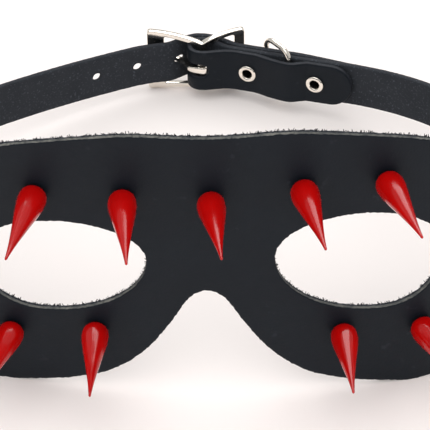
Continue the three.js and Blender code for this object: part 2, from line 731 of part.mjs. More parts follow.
function keeperPath() {
  const innerMiddle = strapMiddle(keeper.innerLeg);
  const innerPoint = onLoop(loopFromBar(keeper.innerLeg), inside - keeperOff, 0);
  const outerPoint = onLoop(loopFromBar(keeper.outerLeg), inside + layer + keeperOff, 0);
  const across = outerPoint.clone().sub(innerPoint);
  const width = across.length();
  across.normalize();
  const low = innerMiddle - strap.width / 2 - keeper.lowCorner;
  const high = innerMiddle + strap.width / 2 + keeper.headroom;
  const topCorner = Math.min(keeper.topCorner, width / 2);
  const lowCorner = Math.min(keeper.lowCorner, width / 2);
  const corners = [
    { across: width - lowCorner, z: low + lowCorner, start: -90, radius: lowCorner },
    { across: width - topCorner, z: high - topCorner, start: 0, radius: topCorner },
    { across: topCorner, z: high - topCorner, start: 90, radius: topCorner },
    { across: lowCorner, z: low + lowCorner, start: 180, radius: lowCorner },
  ];
  const path = corners.flatMap((corner) => Array.from({ length: 7 }, (_, i) => {
    const angle = THREE.MathUtils.degToRad(corner.start + i * 15);
    return innerPoint.clone().addScaledVector(across, corner.across + corner.radius * Math.cos(angle))
      .setZ(corner.z + corner.radius * Math.sin(angle));
  }));
  return { path, normal: new THREE.Vector3().crossVectors(across, up) };
}

const ring = keeperPath();
addMesh('keeper_ring', sweep(ring.path, ring.normal, keeper.wire / 2, keeper.wire / 2, 8, true), nickel);

// Eyelets: from the flap's inner face, through both layers, to a rim sunk in the strap's outer face

for (const { name, at } of eyeletPlaces) {
  const s = loopFromBar(at);
  const axis = plan(s).normal;
  const face = onLoop(s, inside + strap.thickness / 2, strapMiddle(at));
  const front = -(2 * strap.thickness + 2 * gap);
  const back = -gap / 3;
  const body = turned([
    { along: front, out: eyelet.barrelRadius }, { along: front, out: eyelet.outerRadius },
    { along: front - eyelet.rim * 0.6, out: eyelet.outerRadius * 0.95 },
    { along: front - eyelet.rim, out: (eyelet.outerRadius + eyelet.boreRadius) / 2 },
    { along: front - eyelet.rim * 0.6, out: eyelet.boreRadius }, { along: back, out: eyelet.boreRadius },
    { along: back, out: eyelet.outerRadius }, { along: back - eyelet.backRim, out: eyelet.outerRadius },
    { along: back - eyelet.backRim, out: eyelet.barrelRadius },
    { along: front, out: eyelet.barrelRadius },
  ], 16);
  addMesh(`eyelet_${name}`, placed(body, face, axis), nickel);
}

// Temple rivets: a shank through tab and strap with a low cap on each side

for (const { side, point, axis } of temples) {
  const outer = mask.thickness / 2 + gap;
  const inner = inside - strap.thickness / 2 - gap;
  const { shankRadius, headRadius, headHeight } = templeRivet;
  const body = turned([
    { along: inner - headHeight, out: 0 }, { along: inner - headHeight, out: headRadius * 0.7 },
    { along: inner - headHeight * 0.4, out: headRadius }, { along: inner, out: headRadius },
    { along: inner, out: shankRadius }, { along: outer, out: shankRadius },
    { along: outer, out: headRadius }, { along: outer + headHeight * 0.4, out: headRadius },
    { along: outer + headHeight, out: headRadius * 0.7 }, { along: outer + headHeight, out: 0 },
  ], 16);
  addMesh(side < 0 ? 'temple_rivet_left' : 'temple_rivet_right', placed(body, point, axis), nickel);
}

// The origin is the middle of the base

const bounds = new THREE.Box3().setFromObject(assembly);
const middle = bounds.getCenter(new THREE.Vector3());
assembly.position.set(-middle.x, -middle.y, -bounds.min.z);

export default assembly;
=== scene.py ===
"""Spiked leather eye mask with a buckled head strap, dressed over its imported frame.

Sizes are millimetres and turn to metres as each mesh is made. The mask's outer face looks to -Y.
"""

import math

import bpy
import numpy as np
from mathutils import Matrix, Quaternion, Vector, kdtree, noise
from mathutils.geometry import delaunay_2d_cdt


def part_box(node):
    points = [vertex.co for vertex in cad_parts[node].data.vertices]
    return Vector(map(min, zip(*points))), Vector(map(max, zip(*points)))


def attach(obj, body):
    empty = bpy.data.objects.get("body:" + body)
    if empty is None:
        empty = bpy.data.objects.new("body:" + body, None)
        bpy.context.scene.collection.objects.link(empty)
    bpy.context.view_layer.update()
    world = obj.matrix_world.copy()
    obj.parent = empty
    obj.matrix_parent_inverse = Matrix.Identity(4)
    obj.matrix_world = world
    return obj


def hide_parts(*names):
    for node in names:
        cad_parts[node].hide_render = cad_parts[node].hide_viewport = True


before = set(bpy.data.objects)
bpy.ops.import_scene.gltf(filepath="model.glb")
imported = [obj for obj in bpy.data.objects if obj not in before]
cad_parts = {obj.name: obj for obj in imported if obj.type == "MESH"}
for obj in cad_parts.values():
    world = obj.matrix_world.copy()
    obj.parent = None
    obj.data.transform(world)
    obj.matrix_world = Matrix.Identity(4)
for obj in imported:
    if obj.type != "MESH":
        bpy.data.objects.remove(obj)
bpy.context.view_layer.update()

# Mask panel
# One sheet of drum dyed cow leather, grain side out, cut from the flat with a knife and bent round
# the face. Its edges are left raw, so the paler core of the hide shows between grain and flesh side.

mm = 0.001
mask_half, mask_height, mask_thickness = 106.0, 90.0, 1.9
notch_shift = -1.2
tab_height, tab_rise = 22.0, 40.0

# The loop seen from above: forehead, temple and cheek arcs, then a flat arc on each side up to the
# bend at the buckle. The turns are the headings at which the cheek and the side arc end
front_radius, front_run = 260.0, 64.0
temple_radius, temple_turn, cheek_radius, bend_radius = 40.0, math.radians(78), 79.0, 45.0
left_turns, right_turns = np.radians((142.4, 156.2)), np.radians((155.0, 158.9))

eye_inner, eye_width = 16.8, 46.2
eye_spans = {-1: (29.1, 32.3), 1: (28.9, 33.9)}
eye_peak, eye_dip, inner_corner, outer_corner = 0.47, 0.643, 0.617, 0.5

# Outline as (share of the half length, share of the height)
top_edge = [
    (0, 0.989), (0.09, 0.994), (0.18, 1), (0.3, 0.987), (0.39, 0.97), (0.5, 0.942),
    (0.61, 0.895), (0.72, 0.81), (0.81, 0.69),
]
low_edge = [
    (0, 0.428), (0.045, 0.398), (0.085, 0.318), (0.127, 0.236), (0.179, 0.159), (0.245, 0.094),
    (0.34, 0.046), (0.472, 0.01), (0.575, -0.006), (0.67, 0.014), (0.76, 0.095), (0.83, 0.205),
]

front_turn = front_run / front_radius
bend_turn = 2 * math.pi - left_turns[1] - right_turns[1]
mask_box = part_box("mask_panel")
base_shift = np.array([
    (mask_box[0].x + mask_box[1].x) / 2 / mm, mask_box[0].y / mm + mask_thickness / 2])


def arc_step(radius, start, end):
    return radius * np.array([np.sin(end) - np.sin(start), np.cos(start) - np.cos(end)])


def arcs_of(turns, side_radius):
    """One side's arcs as rows of (run so far, radius, heading, x, y) at their starts."""
    headings = [0, front_turn, temple_turn, *turns, turns[1] + bend_turn]
    rows, run, point = [], 0.0, np.zeros(2)
    radii = [front_radius, temple_radius, cheek_radius, side_radius, bend_radius]
    for radius, start, end in zip(radii, headings, headings[1:]):
        rows.append((run, radius, start, *point))
        run += radius * (end - start)
        point = point + arc_step(radius, start, end)
    return np.array(rows)


# The side arcs take the radii with which the two chains meet at the bend
left_step, right_step = arc_step(1, *left_turns), arc_step(1, *right_turns)
left_start, right_start = (arcs_of(turns, 1)[3, 3:] for turns in (left_turns, right_turns))
bend_end = right_start + arc_step(bend_radius, right_turns[1], right_turns[1] + bend_turn)
left_radius, right_radius = np.linalg.solve(
    [[left_step[0], right_step[0]], [left_step[1], -right_step[1]]],
    [-left_start[0] - bend_end[0], bend_end[1] - left_start[1]])
left_arcs, right_arcs = arcs_of(left_turns, left_radius), arcs_of(right_turns, right_radius)
loop_length = left_arcs[4, 0] + right_arcs[4, 0] + bend_radius * bend_turn


def plan(s):
    """Points and outward normals of the loop at lengths s to the right of the forehead's middle."""
    s = np.asarray(s, float)
    wrapped = np.where(s > loop_length / 2, s - loop_length, s)
    side, run = np.where(wrapped < 0, -1.0, 1.0), np.abs(wrapped)
    arcs = np.where(wrapped[..., None, None] < 0, left_arcs, right_arcs)
    number = (arcs[..., 0] <= run[..., None]).sum(-1) - 1
    row = np.take_along_axis(arcs, number[..., None, None], -2)[..., 0, :]
    before, radius, start, x, y = np.moveaxis(row, -1, 0)
    heading = start + (run - before) / radius
    x = x + radius * (np.sin(heading) - np.sin(start))
    y = y + radius * (np.cos(start) - np.cos(heading))
    outward = np.stack([np.sin(heading) * side, -np.cos(heading)], -1)
    return np.stack([x * side, y], -1) + base_shift, outward


def on_loop(s, depth, z):
    point, normal = plan(s)
    flat = point + normal * np.asarray(depth)[..., None]
    return np.concatenate([flat, np.broadcast_to(z, flat.shape[:-1])[..., None]], -1)


def smooth_step(x, low, high):
    t = np.clip((x - low) / (high - low), 0, 1)
    return t * t * (3 - 2 * t)


# How far the sheet stands out to the front at 50 mm from its middle: its top and its low edge
sway_run, sway_from, sway_to = 50.0, 55.0, 80.0
left_sway, right_sway = (0.0, -2.4), (2.4, 3.3)


def on_mask(s, depth, z):
    """Points of the mask: the loop, swayed a little to the front or back on each side."""
    s, z = np.asarray(s, float), np.asarray(z, float)
    at_top, at_foot = (np.where(s < 0, a, b) for a, b in zip(left_sway, right_sway))
    share = np.abs(s) / sway_run * (1 - smooth_step(np.abs(s), sway_from, sway_to))
    points = on_loop(s, depth, z)
    points[..., 1] -= share * (at_foot + (at_top - at_foot) * z / mask_height)
    return points


def hermite(t, start, end, start_slope, end_slope):
    """A cubic stretch from start to end for t from 0 to 1."""
    return ((2 * t**3 - 3 * t**2 + 1) * start + (t**3 - 2 * t**2 + t) * start_slope
            + (3 * t**2 - 2 * t**3) * end + (t**3 - t**2) * end_slope)


def smooth_through(rows, x):
    """A smooth curve through rows of (place, value), level at both ends."""
    at, value = np.array(rows, float).T
    run, rise = np.diff(at), np.diff(value)
    slope = np.zeros_like(value)
    lean = rise / run
    slope[1:-1] = (lean[:-1] * run[1:] + lean[1:] * run[:-1]) / (run[:-1] + run[1:])
    x = np.clip(x, at[0], at[-1])
    i = np.clip(np.searchsorted(at, x, side="right") - 1, 0, len(at) - 2)
    t = (x - at[i]) / run[i]
    return hermite(t, value[i], value[i + 1], run[i] * slope[i], run[i] * slope[i + 1])


def edge_height(rows, side, s):
    radius = tab_height / 2
    straight = mask_half - radius
    closed = rows + [(straight / mask_half, (tab_rise + side * radius) / mask_height)]
    past = np.clip(np.abs(s) - straight, 0, radius)
    tab = tab_rise + side * np.sqrt(radius**2 - past**2)
    return np.where(past > 0, tab, mask_height * smooth_through(closed, np.abs(s) / mask_half))


def mask_outline():
    s = mask_half * np.sin(np.pi / 2 * np.linspace(-1, 1, 3001))
    shifted = s - notch_shift * (1 - np.abs(s) / mask_half)
    low = np.maximum(edge_height(low_edge, -1, shifted), 0)
    high = edge_height(top_edge, 1, s)
    return np.vstack([np.stack([s, low], 1), np.stack([s, high], 1)[-2:0:-1]])


def eye_outline(side):
    t = (1 - np.cos(np.pi * np.linspace(0, 1, 601))) / 2

    def share(turning, rises):
        corner = np.where(t < turning, inner_corner, outer_corner)
        reach = np.where(t < turning, (turning - t) / turning, (t - turning) / (1 - turning))
        arc = np.sqrt(np.clip(1 - reach**2, 0, 1))
        return corner + (1 - corner) * arc if rises else corner * (1 - arc)

    s = side * (eye_inner + eye_width * t)
    eye_low, eye_height = eye_spans[side]
    low = np.stack([s, eye_low + eye_height * share(eye_dip, False)], 1)
    high = np.stack([s, eye_low + eye_height * share(eye_peak, True)], 1)
    return np.vstack([low, high[-2:0:-1]])


def round_hole(along, up, radius, stretch=0.0):
    turn = np.linspace(0, 2 * np.pi, 48, endpoint=False)
    return np.stack([along + (radius + stretch) * np.cos(turn), up + radius * np.sin(turn)], 1)


def even_steps(loop, step):
    closed = np.vstack([loop, loop[:1]])
    run = np.concatenate([[0], np.cumsum(np.linalg.norm(np.diff(closed, axis=0), axis=1))])
    count = max(int(round(run[-1] / step)), 16)
    at = np.arange(count) * run[-1] / count
    return np.stack([np.interp(at, run, closed[:, k]) for k in (0, 1)], 1)


def inside_loops(points, starts, ends):
    """Which points lie inside closed loops of edges, by the edges that cross a line to their right."""
    found, batch = np.zeros(len(points), bool), 2000
    for first in range(0, len(points), batch):
        part = points[first:first + batch, None]
        between = (starts[None, :, 1] > part[..., 1]) != (ends[None, :, 1] > part[..., 1])
        with np.errstate(divide="ignore", invalid="ignore"):
            share = (part[..., 1] - starts[None, :, 1]) / (ends - starts)[None, :, 1]
            cross = starts[None, :, 0] + share * (ends - starts)[None, :, 0]
        found[first:first + batch] = (between & (part[..., 0] < cross)).sum(1) % 2 == 1
    return found


def cut_sheet(outline, holes, thickness, edge_step, spacing, rim, fray=0.0, fray_size=0.5):
    """A sheet cut from the flat: corners (along, up, out), faces, and each face's strip.

    rim has rows of (inset from the cut, share of the half thickness) from the front face round to
    the back. Strip 0 is the front face, the last strip the back, and those between are the rim.
    """
    row_share, least_share, rough_turn = 0.866, 0.6, 1.6
    edges, following = [], []
    for number, loop in enumerate([outline] + holes):
        loop = even_steps(loop, edge_step)
        ahead = np.roll(loop, -1, 0)
        area = (loop[:, 0] * ahead[:, 1] - loop[:, 1] * ahead[:, 0]).sum()
        if (area > 0) == (number > 0):
            loop = loop[::-1]
        first = sum(map(len, edges))
        following.append(first + np.roll(np.arange(len(loop)), -1))
        edges.append(loop)
    ahead = np.vstack([np.roll(loop, -1, 0) - np.roll(loop, 1, 0) for loop in edges])
    away = np.stack([ahead[:, 1], -ahead[:, 0]], 1)
    away /= np.linalg.norm(away, axis=1)[:, None]
    edge, following = np.vstack(edges), np.concatenate(following)

    border = edge - away * rim[0][0]
    low, high = border.min(0), border.max(0)
    rows = np.arange(low[1] + spacing / 2, high[1], spacing * row_share)
    columns = np.arange(low[0] + spacing / 2, high[0], spacing)
    grid = np.stack(np.meshgrid(columns, rows), -1)
    grid[1::2, :, 0] += spacing / 2
    grid = grid.reshape(-1, 2)
    grid = grid[inside_loops(grid, border, border[following])]
    near = kdtree.KDTree(len(border))
    for i, point in enumerate(border):
        near.insert((*point, 0), i)
    near.balance()
    grid = grid[[near.find((*point, 0))[2] > least_share * spacing for point in grid]]

    flat = np.vstack([border, grid])
    links = list(zip(range(len(edge)), following.tolist()))
    result = delaunay_2d_cdt([Vector(p) for p in flat.tolist()], links, [], 0, 1e-7)
    origin = [named[0] for named in result[3]]
    triangles = np.array([[origin[i] for i in face] for face in result[2]])
    on_border = (triangles < len(edge)).all(1)
    middles = flat[triangles[on_border]].mean(1)
    kept = ~on_border
    kept[on_border] = inside_loops(middles, border, border[following])
    triangles = triangles[kept]

    half = thickness / 2
    corners = [np.column_stack([flat, np.full(len(flat), half)])]
    row_starts = [0]
    for inset, share in rim[1:-1]:
        row_starts.append(sum(map(len, corners)))
        spot = edge / fray_size
        rough = np.array([noise.noise((*p, share * rough_turn)) for p in spot]) * fray
        out = edge + away * (rough - inset)[:, None]
        corners.append(np.column_stack([out, np.full(len(edge), share * half)]))
    back_start = sum(map(len, corners))
    row_starts.append(back_start)
    back = flat.copy()
    back[:len(edge)] = edge - away * rim[-1][0]
    corners.append(np.column_stack([back, np.full(len(flat), -half)]))

    faces = triangles.tolist()
    strips = [0] * len(triangles)
    for number, (upper, lower) in enumerate(zip(row_starts, row_starts[1:]), 1):
        for i, after in links:
            faces.append((lower + i, lower + after, upper + after, upper + i))
        strips += [number] * len(links)
    faces += (triangles[:, ::-1] + back_start).tolist()
    strips += [len(rim)] * len(triangles)
    return np.vstack(corners), faces, np.array(strips)


def new_object(name, data):
    made = bpy.data.objects.new(name, data)
    bpy.context.scene.collection.objects.link(made)
    return made


def new_piece(name, corners, faces, materials, face_materials=None, face_marks=None):
    """A smooth shaded mesh object from corners in millimetres."""
    mesh = bpy.data.meshes.new(name)
    mesh.from_pydata((np.asarray(corners) * mm).tolist(), [], faces)
    for material in materials:
        mesh.materials.append(material)
    if face_materials is not None:
        mesh.polygons.foreach_set("material_index", np.asarray(face_materials, np.int32))
    for mark, values in (face_marks or {}).items():
        mesh.attributes.new(mark, "BOOLEAN", "FACE").data.foreach_set("value", values)
    mesh.polygons.foreach_set("use_smooth", np.ones(len(mesh.polygons), bool))
    mesh.update()
    return new_object(name, mesh)


def linear(colour):
    """An sRGB hex colour as linear red, green, blue and alpha."""
    parts = [int(colour[i:i + 2], 16) / 255 for i in (1, 3, 5)]
    return tuple(p / 12.92 if p <= 0.04045 else ((p + 0.055) / 1.055) ** 2.4 for p in parts) + (1.0,)


def set_inputs(tree, node, inputs):
    """Each input takes a plain value, or a link from a socket or from a node's first output in use."""
    for socket, value in inputs.items():
        if isinstance(value, bpy.types.Node):
            value = next(output for output in value.outputs if not output.is_unavailable)
        if isinstance(value, bpy.types.NodeSocket):
            tree.links.new(value, node.inputs[socket])
        else:
            node.inputs[socket].default_value = value


def add_node(tree, kind, inputs=None, **settings):
    """A node with its settings and its inputs, set or linked."""
    node = tree.nodes.new(kind)
    for setting, value in settings.items():
        setattr(node, setting, value)
    set_inputs(tree, node, inputs or {})
    return node


def new_material(name):
    material = bpy.data.materials.new(name)
    material.use_nodes = True
    return material, material.node_tree, material.node_tree.nodes["Principled BSDF"]


# Full grain cowhide, drum dyed and plated smooth: near black with a cool cast, a soft satin sheen,
# pores about 0.5 mm apart, drawn at 0.8 mm so that they show, and a few pale rubs
grain_leather, tree, surface = new_material("full_grain_leather_drum_dyed")
place = add_node(tree, "ShaderNodeTexCoord").outputs["Object"]
cloud = add_node(tree, "ShaderNodeTexNoise", {"Vector": place, "Scale": 70.0, "Detail": 3.0})
dye = add_node(tree, "ShaderNodeMix", {
    0: cloud, 6: linear("#0b1118"), 7: linear("#0f171f")}, data_type="RGBA")
rub = add_node(tree, "ShaderNodeTexNoise", {"Vector": place, "Scale": 260.0, "Detail": 5.0})
rubbed = add_node(tree, "ShaderNodeMapRange", {
    "Value": rub, "From Min": 0.66, "From Max": 0.82, "To Max": 0.5})
worn = add_node(tree, "ShaderNodeMix", {0: rubbed, 6: dye, 7: linear("#363a42")}, data_type="RGBA")
pores = add_node(tree, "ShaderNodeTexVoronoi", {"Vector": place, "Scale": 1250.0})
creases = add_node(tree, "ShaderNodeTexNoise", {"Vector": place, "Scale": 420.0, "Detail": 6.0})
relief = add_node(tree, "ShaderNodeMath", {0: pores, 1: creases}, operation="ADD")
bump = add_node(tree, "ShaderNodeBump", {"Height": relief, "Strength": 0.35, "Distance": 0.06 * mm})
gloss = add_node(tree, "ShaderNodeMapRange", {"Value": creases, "To Min": 0.42, "To Max": 0.6})
set_inputs(tree, surface, {
    "Base Color": worn, "Roughness": gloss, "Normal": bump, "IOR": 1.5, "Specular IOR Level": 0.17})

# Flesh side of the same hide, dyed through and shaved: matt dark grey, a short nap about 0.4 mm
# long and pale flecks where the dye took less
flesh_leather, tree, surface = new_material("flesh_side_leather_shaved")
place = add_node(tree, "ShaderNodeTexCoord").outputs["Object"]
nap = add_node(tree, "ShaderNodeTexNoise", {"Vector": place, "Scale": 1300.0, "Detail": 5.0})
cloud = add_node(tree, "ShaderNodeTexNoise", {"Vector": place, "Scale": 120.0, "Detail": 3.0})
dye = add_node(tree, "ShaderNodeMix", {
    0: cloud, 6: linear("#24272c"), 7: linear("#313439")}, data_type="RGBA")
fleck = add_node(tree, "ShaderNodeTexNoise", {"Vector": place, "Scale": 1500.0, "Detail": 3.0})
flecked = add_node(tree, "ShaderNodeMapRange", {
    "Value": fleck, "From Min": 0.58, "From Max": 0.72, "To Max": 0.75})
shade = add_node(tree, "ShaderNodeMix", {0: flecked, 6: dye, 7: linear("#4d525b")}, data_type="RGBA")
bump = add_node(tree, "ShaderNodeBump", {"Height": nap, "Strength": 0.6, "Distance": 0.15 * mm})
set_inputs(tree, surface, {
    "Base Color": shade, "Normal": bump, "Roughness": 0.8, "Specular IOR Level": 0.15})

# Raw cut edge of the hide: the core takes less dye, so it is a warm mid grey, matt and fibrous
cut_core, tree, surface = new_material("cut_leather_core_knife_cut")
place = add_node(tree, "ShaderNodeTexCoord").outputs["Object"]
fibre = add_node(tree, "ShaderNodeTexNoise", {"Vector": place, "Scale": 1500.0, "Detail": 4.0})
band = add_node(tree, "ShaderNodeTexNoise", {"Vector": place, "Scale": 260.0, "Detail": 3.0})
pale = add_node(tree, "ShaderNodeMapRange", {"Value": band, "From Min": 0.3, "From Max": 0.7})
tone = add_node(tree, "ShaderNodeMix", {
    0: pale, 6: linear("#3a3d3f"), 7: linear("#6b6a65")}, data_type="RGBA")
dark = add_node(tree, "ShaderNodeMapRange", {
    "Value": fibre, "From Min": 0.5, "From Max": 0.66, "To Max": 0.55})
core = add_node(tree, "ShaderNodeMix", {0: dark, 6: tone, 7: linear("#1b1c1f")}, data_type="RGBA")
bump = add_node(tree, "ShaderNodeBump", {"Height": fibre, "Strength": 0.8, "Distance": 0.15 * mm})
set_inputs(tree, surface, {
    "Base Color": core, "Normal": bump, "Roughness": 0.85, "Specular IOR Level": 0.2})

# Spikes' places on the mask: shares of its half length and height, turn and lift in degrees
gap = 0.3
spike_rows = [
    ("top_1", -0.418, 0.786, -4, 0), ("top_2", -0.211, 0.789, 8, 0), ("top_3", 0, 0.776, 6, 5),
    ("top_4", 0.221, 0.811, 6, 2), ("top_5", 0.425, 0.814, 6, 3), ("low_1", -0.512, 0.228, -4, 0),
    ("low_2", -0.297, 0.262, 6, 1), ("low_3", 0.338, 0.244, -4, 4), ("low_4", 0.54, 0.234, 5, 0),
]
screw_radius = 1.5
rivet_radius, rivet_margin = 1.5, 11.0
hole_ease = 0.05
temple_at = mask_half - rivet_margin

# Knife cut rim, rows of (inset, share of the half thickness): grain edge rolled over by wear,
# flesh edge frayed
raw_rim = [
    (0.34, 1), (0.16, 0.985), (0.05, 0.91), (0, 0.74), (0, 0.45), (0, 0.15), (0, -0.15),
    (0, -0.45), (0, -0.74), (0.04, -0.9), (0.12, -0.98), (0.3, -1),
]
screw_holes = [
    round_hole(along * mask_half, up * mask_height, screw_radius + hole_ease)
    for name, along, up, turn, lift in spike_rows
]
rivet_holes = [round_hole(side * temple_at, tab_rise, rivet_radius + hole_ease) for side in (-1, 1)]
flat_corners, faces, strips = cut_sheet(
    mask_outline(), [eye_outline(-1), eye_outline(1)] + screw_holes + rivet_holes,
    mask_thickness, edge_step=0.45, spacing=1.15, rim=raw_rim, fray=0.22, fray_size=0.7,
)
grain_strips, flesh_strips = 3, 5


def by_side(strips):
    """Material numbers of a sheet's faces: 0 grain side, 1 cut core, 2 flesh side."""
    last = strips.max()
    return np.where(strips <= grain_strips, 0, np.where(strips >= last - flesh_strips, 2, 1))


last_strip, frayed_strips = strips.max(), 4
mask_panel = new_piece(
    "leather_mask_panel", on_mask(flat_corners[:, 0], flat_corners[:, 2], flat_corners[:, 1]), faces,
    [grain_leather, cut_core, flesh_leather], by_side(strips),
    {"frayed": (strips >= last_strip - frayed_strips) & (strips < last_strip)},
)
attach(mask_panel, "root")
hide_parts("mask_panel")

# Frayed fibres
# Loose collagen fibres that a knife leaves along the raw edge, most of them at the flesh side.
# Real ones are about 0.05 mm thick; they are drawn as clumps, 0.24 mm thick at the root, so that
# they show.


def new_tree(name, **sockets):
    """A geometry tree, its named inputs and its output node; sockets names each input's kind."""
    tree = bpy.data.node_groups.new(name, "GeometryNodeTree")
    for socket, kind in sockets.items():
        tree.interface.new_socket(socket, in_out="INPUT", socket_type="NodeSocket" + kind)
    tree.interface.new_socket("Geometry", in_out="OUTPUT", socket_type="NodeSocketGeometry")
    return tree, tree.nodes.new("NodeGroupInput").outputs, tree.nodes.new("NodeGroupOutput")


def end_tree(tree, geometry, given, made):
    """The tree, ended in real geometry in the given material."""
    real = add_node(tree, "GeometryNodeRealizeInstances", {"Geometry": geometry})
    finish = add_node(tree, "GeometryNodeSetMaterial", {
        "Geometry": real, "Material": given["Material"]})
    set_inputs(tree, made, {"Geometry": finish})
    return tree


def grow(name, base, tree, values):
    """The plain mesh object that a geometry tree makes from a base mesh."""
    holder = new_object(name + "_base", base)
    modifier = holder.modifiers.new(name, "NODES")
    modifier.node_group = tree
    for item in tree.interface.items_tree:
        if item.name in values and item.in_out == "INPUT":
            modifier[item.identifier] = values[item.name]
    holder.update_tag()
    evaluated = holder.evaluated_get(bpy.context.evaluated_depsgraph_get())
    mesh = bpy.data.meshes.new_from_object(evaluated)
    mesh.name = name
    bpy.data.objects.remove(holder)
    return new_object(name, mesh)


tree, given, made = new_tree(
    "frayed_fibres", Geometry="Geometry", Density="Float", Length="Float", Thickness="Float",
    Seed="Int", Material="Material")
frayed = add_node(tree, "GeometryNodeInputNamedAttribute", {"Name": "frayed"}, data_type="BOOLEAN")
roots = add_node(tree, "GeometryNodeDistributePointsOnFaces", {
    "Mesh": given["Geometry"], "Selection": frayed, "Density": given["Density"],
    "Seed": given["Seed"]})
lean = add_node(tree, "FunctionNodeRandomValue", {
    0: (-0.9, -0.9, -0.9), 1: (0.9, 0.9, 0.9), "Seed": given["Seed"]}, data_type="FLOAT_VECTOR")
aim = add_node(tree, "ShaderNodeVectorMath", {
    0: roots.outputs["Normal"], 1: lean}, operation="ADD")
turn = add_node(tree, "FunctionNodeAlignRotationToVector", {"Vector": aim}, axis="Z")
share = add_node(tree, "FunctionNodeRandomValue", {
    2: 0.25, 3: 1.0, "Seed": given["Seed"]}, data_type="FLOAT")
long = add_node(tree, "ShaderNodeMath", {0: share, 1: given["Length"]}, operation="MULTIPLY")
size = add_node(tree, "ShaderNodeCombineXYZ", {
    "X": given["Thickness"], "Y": given["Thickness"], "Z": long})
hair = add_node(tree, "GeometryNodeMeshCone", {
    "Vertices": 4, "Radius Top": 0.25, "Radius Bottom": 0.5, "Depth": 1.0})
hairs = add_node(tree, "GeometryNodeInstanceOnPoints", {
    "Points": roots, "Instance": hair, "Rotation": turn, "Scale": size})
fibre_tree = end_tree(tree, hairs, given, made)

fibres = grow("frayed_edge_fibres", mask_panel.data.copy(), fibre_tree, {
    "Density": 4.0e6, "Length": 0.75 * mm, "Thickness": 0.24 * mm, "Seed": 7,
    "Material": grain_leather})
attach(fibres, "root")

# Spikes
# Nine screw back cone spikes, die cast in zinc alloy, sprayed with red enamel and stoved. The base
# is drawn in a little, so each one stands in a dark ring of its own shade.

spike_radius, spike_length = 3.7, 25.2
spike_form = [
    (0, 0.84), (0.035, 0.95), (0.08, 1), (0.15, 0.99), (0.26, 0.88), (0.5, 0.58),
    (0.9, 0.15), (0.975, 0.1),
]

tree, given, made = new_tree(
    "turned_pieces", Geometry="Geometry", Profile="Object", Rows="Int", Sides="Int",
    Material="Material")
section = add_node(tree, "GeometryNodeObjectInfo", {"Object": given["Profile"]})
edge_count = add_node(tree, "FunctionNodeIntegerMath", {0: given["Sides"], 1: 1}, operation="ADD")
grid = add_node(tree, "GeometryNodeMeshGrid", {"Vertices X": given["Rows"], "Vertices Y": edge_count})
index = add_node(tree, "GeometryNodeInputIndex")
row = add_node(tree, "FunctionNodeIntegerMath", {0: index, 1: edge_count}, operation="DIVIDE_FLOOR")
column = add_node(tree, "FunctionNodeIntegerMath", {0: index, 1: edge_count}, operation="MODULO")
position = add_node(tree, "GeometryNodeInputPosition")
sampled = add_node(tree, "GeometryNodeSampleIndex", {
    "Geometry": section.outputs["Geometry"], "Value": position, "Index": row},
    data_type="FLOAT_VECTOR")
share = add_node(tree, "ShaderNodeMath", {0: column, 1: given["Sides"]}, operation="DIVIDE")
angle = add_node(tree, "ShaderNodeMath", {0: share, 1: math.tau}, operation="MULTIPLY")
spun = add_node(tree, "ShaderNodeVectorRotate", {
    "Vector": sampled, "Angle": angle}, rotation_type="Z_AXIS")
lathe = add_node(tree, "GeometryNodeSetPosition", {"Geometry": grid, "Position": spun})
merged = add_node(tree, "GeometryNodeMergeByDistance", {"Geometry": lathe, "Distance": 0.0005 * mm})
smooth = add_node(tree, "GeometryNodeSetShadeSmooth", {"Geometry": merged})
axis = add_node(tree, "GeometryNodeInputNamedAttribute", {"Name": "axis"}, data_type="FLOAT_VECTOR")
turn = add_node(tree, "FunctionNodeAlignRotationToVector", {"Vector": axis}, axis="Z")
pieces = add_node(tree, "GeometryNodeInstanceOnPoints", {
    "Points": given["Geometry"], "Instance": smooth, "Rotation": turn})
turned_tree = end_tree(tree, pieces, given, made)


def turned_pieces(name, places, axes, profile, sides, material):
    """Equal turned pieces at places (mm), their own Z along axes; profile rows are (out, along)."""
    points = bpy.data.meshes.new(name + "_points")
    points.from_pydata((np.asarray(places) * mm).tolist(), [], [])
    points.attributes.new("axis", "FLOAT_VECTOR", "POINT").data.foreach_set(
        "vector", np.asarray(axes, np.float32).ravel())
    outline = bpy.data.meshes.new(name + "_profile")
    outline.from_pydata([(out * mm, 0, along * mm) for out, along in profile], [], [])
    holder = new_object(name + "_profile", outline)
    piece = grow(name, points, turned_tree, {
        "Profile": holder, "Rows": len(profile), "Sides": sides, "Material": material})
    bpy.data.objects.remove(holder)
    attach(piece, "root")
    return piece


def spike_axis(along, up, turn, lift):
    s, z, reach = along * mask_half, up * mask_height, 2.0
    beside = on_mask(s + reach, 0, z) - on_mask(s - reach, 0, z)
    above = on_mask(s, 0, z + reach) - on_mask(s, 0, z - reach)
    straight = Vector(beside).cross(Vector(above)).normalized()
    upward = Vector((0, 0, 1))
    axis = Quaternion(upward, math.radians(turn)) @ straight
    axis = Quaternion(axis.cross(upward), math.radians(lift)) @ axis
    return np.array(axis), math.sin(axis.angle(straight))


